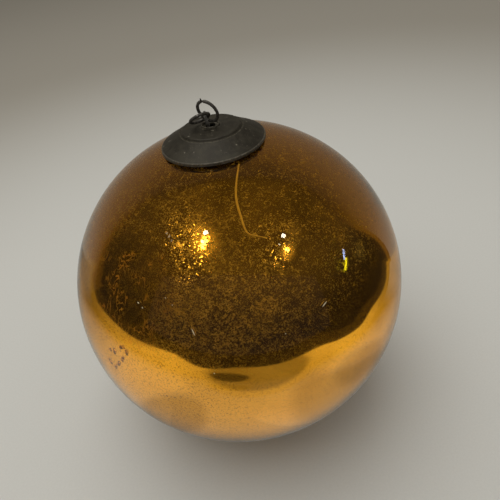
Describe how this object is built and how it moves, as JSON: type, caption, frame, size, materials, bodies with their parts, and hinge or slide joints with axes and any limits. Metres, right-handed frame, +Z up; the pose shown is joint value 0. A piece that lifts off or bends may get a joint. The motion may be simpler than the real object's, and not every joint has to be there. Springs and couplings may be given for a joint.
{
  "type": "glass ball ornament",
  "caption": "Large silvered amber glass ball ornament with a pressed metal cap, a spring wire hanger, an open-jointed hanging ring and a small link ring.",
  "frame": {"origin": "the ball's lowest point, on its axis of revolution", "axes": "+Z up through the neck and cap; the wire hanger lies in the YZ plane, with one spring leg toward -Y and one toward +Y"},
  "size_m": [0.152, 0.152, 0.1673],
  "materials": {
    "amber_glass": "clear amber blown glass, glossy",
    "silvering": "old silvering, foxed and flecked with gold",
    "cap_metal": "dark aged patina, worn bright on raised edges",
    "hanger_wire": "dull grey spring wire",
    "ring_wire": "dark iron wire with a little rust"
  },
  "bodies": {
    "ball": {"glass_ball": "amber_glass", "silver_lining": "silvering"},
    "cap": {"cap": "cap_metal"},
    "hanger": {"staple_eye": "hanger_wire"},
    "leg_front": {"spring_leg_front": "hanger_wire"},
    "leg_back": {"spring_leg_back": "hanger_wire"},
    "hanging_ring": {"hanging_ring": "ring_wire"},
    "link_ring": {"link_ring": "ring_wire"}
  },
  "joints": [
    {"name": "cap_pull", "type": "slide", "parent": "ball", "child": "cap", "axis": [0, 0, 1], "range_m": [0, 0.04]},
    {"name": "hanger_turn", "type": "hinge", "parent": "cap", "child": "hanger", "pos_m": [0, 0, 0.15497], "axis": [0, 0, 1], "continuous": true},
    {"name": "leg_front_flex", "type": "hinge", "parent": "hanger", "child": "leg_front", "pos_m": [-0.0008, -0.0008, 0.15337], "axis": [1, 0, 0], "range_deg": [0, 26]},
    {"name": "leg_back_flex", "type": "hinge", "parent": "hanger", "child": "leg_back", "pos_m": [-0.0008, 0.0008, 0.15337], "axis": [1, 0, 0], "range_deg": [-26, 0]},
    {"name": "ring_swing", "type": "hinge", "parent": "hanger", "child": "hanging_ring", "pos_m": [-0.00116, -0.00032, 0.1579], "axis": [0.7502, -0.4688, -0.4664], "range_deg": [-32, 36]},
    {"name": "link_swing", "type": "hinge", "parent": "hanger", "child": "link_ring", "pos_m": [-0.00114, 0.00138, 0.15777], "axis": [-0.7344, 0.424, -0.5299], "range_deg": [-18, 5]}
  ],
  "couplings": [
    {"joint": "leg_front_flex", "follows": "cap_pull", "rad_per_m": 10.821},
    {"joint": "leg_back_flex", "follows": "cap_pull", "rad_per_m": -10.821}
  ]
}
